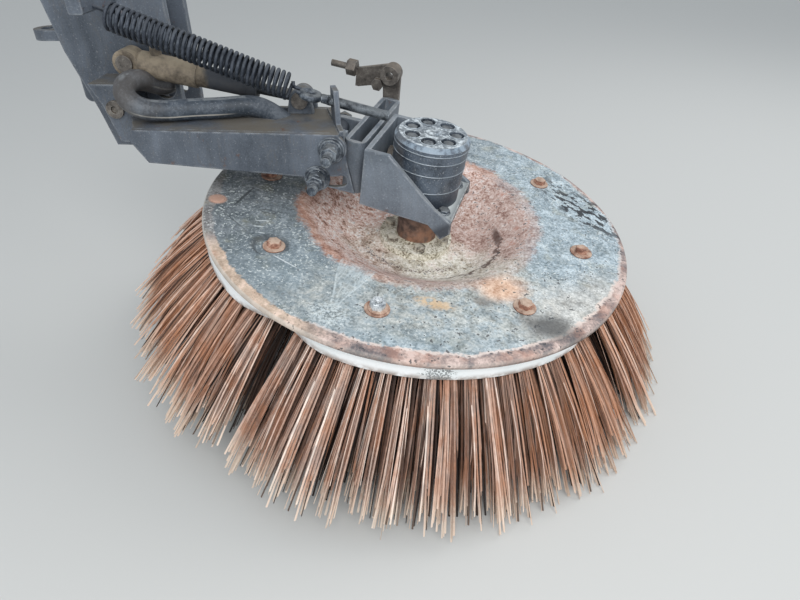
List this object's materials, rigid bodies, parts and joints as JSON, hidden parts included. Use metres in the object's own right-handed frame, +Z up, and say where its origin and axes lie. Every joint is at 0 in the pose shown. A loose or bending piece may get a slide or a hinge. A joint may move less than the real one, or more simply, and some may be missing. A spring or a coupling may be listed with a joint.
{
  "type": "street sweeper side brush",
  "caption": "Tilted steel disc brush with flared wire bristles, turned by a hydraulic motor on a lifting and swinging arm with a spring and a lift cylinder.",
  "frame": {"origin": "centre of the mounting plate's face, where the unit bolts to the truck's chassis", "axes": "+Z up, +Y into the chassis, +X along the lifting arm towards the brush"},
  "size_m": [1.0817, 0.9265, 0.6466],
  "materials": {
    "arm_paint": "worn slate grey paint, dusty on top",
    "bright_steel": "turned steel",
    "dull_steel": "dull zinc-plated steel, dusty",
    "cylinder_paint": "grey paint under beige dust",
    "rod_chrome": "hard chrome, dusty",
    "motor_iron": "near-black paint on cast iron",
    "rusty_steel": "rusty steel",
    "disc_paint": "worn blue-grey paint with rust",
    "block_plastic": "white plastic",
    "bristle_wire": "rusty flat wire with straw-coloured tips",
    "spring_steel": "dark paint on spring steel",
    "hose_rubber": "dusty black sleeve over two hoses"
  },
  "bodies": {
    "chassis_bracket": {"chassis_plate": "arm_paint", "shelf_upper": "arm_paint", "shelf_lower": "arm_paint", "shelf_gussets": "arm_paint", "kingpin": "bright_steel"},
    "post": {"knuckle": "arm_paint", "swing_lever": "arm_paint", "post_plate": "arm_paint", "pivot_lug": "arm_paint", "post_web": "arm_paint", "pivot_pin": "dull_steel", "barrel_pin": "dull_steel", "spring_anchor": "arm_paint", "lift_spring": "spring_steel"},
    "lift_barrel": {"cylinder_barrel": "cylinder_paint"},
    "lift_rod": {"cylinder_rod": "rod_chrome"},
    "arm": {"arm_front": "arm_paint", "arm_rear": "arm_paint", "arm_top": "arm_paint", "arm_bottom": "arm_paint", "arm_end": "arm_paint", "arm_knuckle": "arm_paint", "rod_clevis": "arm_paint", "rod_pin": "dull_steel", "eye_bolt": "dull_steel", "tilt_ring": "arm_paint", "tilt_lugs": "arm_paint", "tilt_adjuster": "dull_steel", "tilt_spacers": "dull_steel", "tilt_bolt_upper": "dull_steel", "tilt_bolt_lower": "dull_steel", "bracket_back": "arm_paint", "bracket_pads": "arm_paint", "bracket_base": "arm_paint", "bracket_cheek_front": "arm_paint", "bracket_cheek_rear": "arm_paint", "motor_flange": "motor_iron", "motor_body": "motor_iron", "motor_cap": "motor_iron", "motor_bolts": "motor_iron", "motor_ports": "dull_steel", "hose_sleeve": "hose_rubber"},
    "brush": {"hub": "rusty_steel", "brush_disc": "disc_paint", "disc_bolts": "rusty_steel", "brush_block_1": "block_plastic", "brush_block_2": "block_plastic", "brush_block_3": "block_plastic", "brush_block_4": "block_plastic", "bristles_1": "bristle_wire", "bristles_2": "bristle_wire", "bristles_3": "bristle_wire", "bristles_4": "bristle_wire"}
  },
  "joints": [
    {"name": "arm_swing", "type": "hinge", "parent": "chassis_bracket", "child": "post", "pos_m": [0, -0.055, 0], "axis": [0, 0, 1], "range_deg": [-15, 15]},
    {"name": "arm_lift", "type": "hinge", "parent": "post", "child": "arm", "pos_m": [0.03, -0.13, -0.092], "axis": [0, -1, 0], "range_deg": [-5, 22], "deforming": ["lift_spring", "hose_sleeve"]},
    {"name": "barrel_pivot", "type": "hinge", "parent": "post", "child": "lift_barrel", "pos_m": [0.053, -0.132, -0.027], "axis": [0, -1, 0], "range_deg": [-6, 25]},
    {"name": "rod_slide", "type": "slide", "parent": "lift_barrel", "child": "lift_rod", "axis": [0.9829, 0, -0.1843], "range_m": [-0.027, 0.008]},
    {"name": "brush_spin", "type": "hinge", "parent": "arm", "child": "brush", "pos_m": [0.52, -0.185, -0.25], "axis": [0.134, -0.086, 0.9872], "continuous": true}
  ],
  "couplings": [
    {"joint": "barrel_pivot", "follows": "arm_lift", "ratio": 1.08},
    {"joint": "rod_slide", "follows": "arm_lift", "m_per_rad": -0.064}
  ]
}
